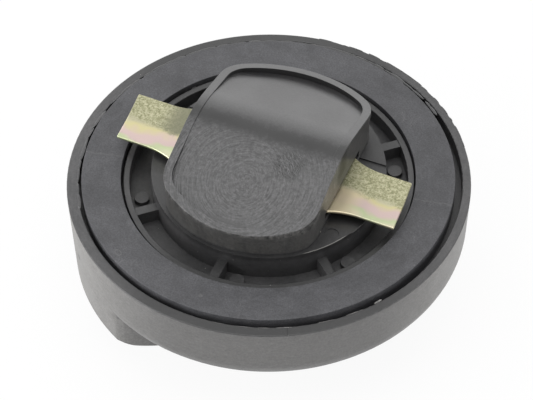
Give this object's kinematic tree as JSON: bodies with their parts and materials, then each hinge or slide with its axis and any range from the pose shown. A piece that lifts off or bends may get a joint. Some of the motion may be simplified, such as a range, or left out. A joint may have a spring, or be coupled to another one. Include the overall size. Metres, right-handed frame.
{
  "type": "oil filler cap",
  "caption": "Round black plastic oil filler cap with a bar grip, a flat rubber sealing ring and a plated steel locking bar through its hub.",
  "frame": {"origin": "on the cap's axis, at the flat crown of the grip that the cap stands on", "axes": "+Z along the axis towards the underside of the cap, which faces up; +X along the locking bar's slot"},
  "size_m": [0.08, 0.08, 0.0408],
  "materials": {
    "cap_plastic": "black moulded plastic, satin, with faint turning marks on the hub",
    "seal_rubber": "flat matte black rubber",
    "bar_steel": "yellow passivated zinc plate with pink and green tints"
  },
  "bodies": {
    "root": {"cap_body": "cap_plastic", "sealing_ring": "seal_rubber", "locking_bar": "bar_steel"}
  },
  "joints": []
}
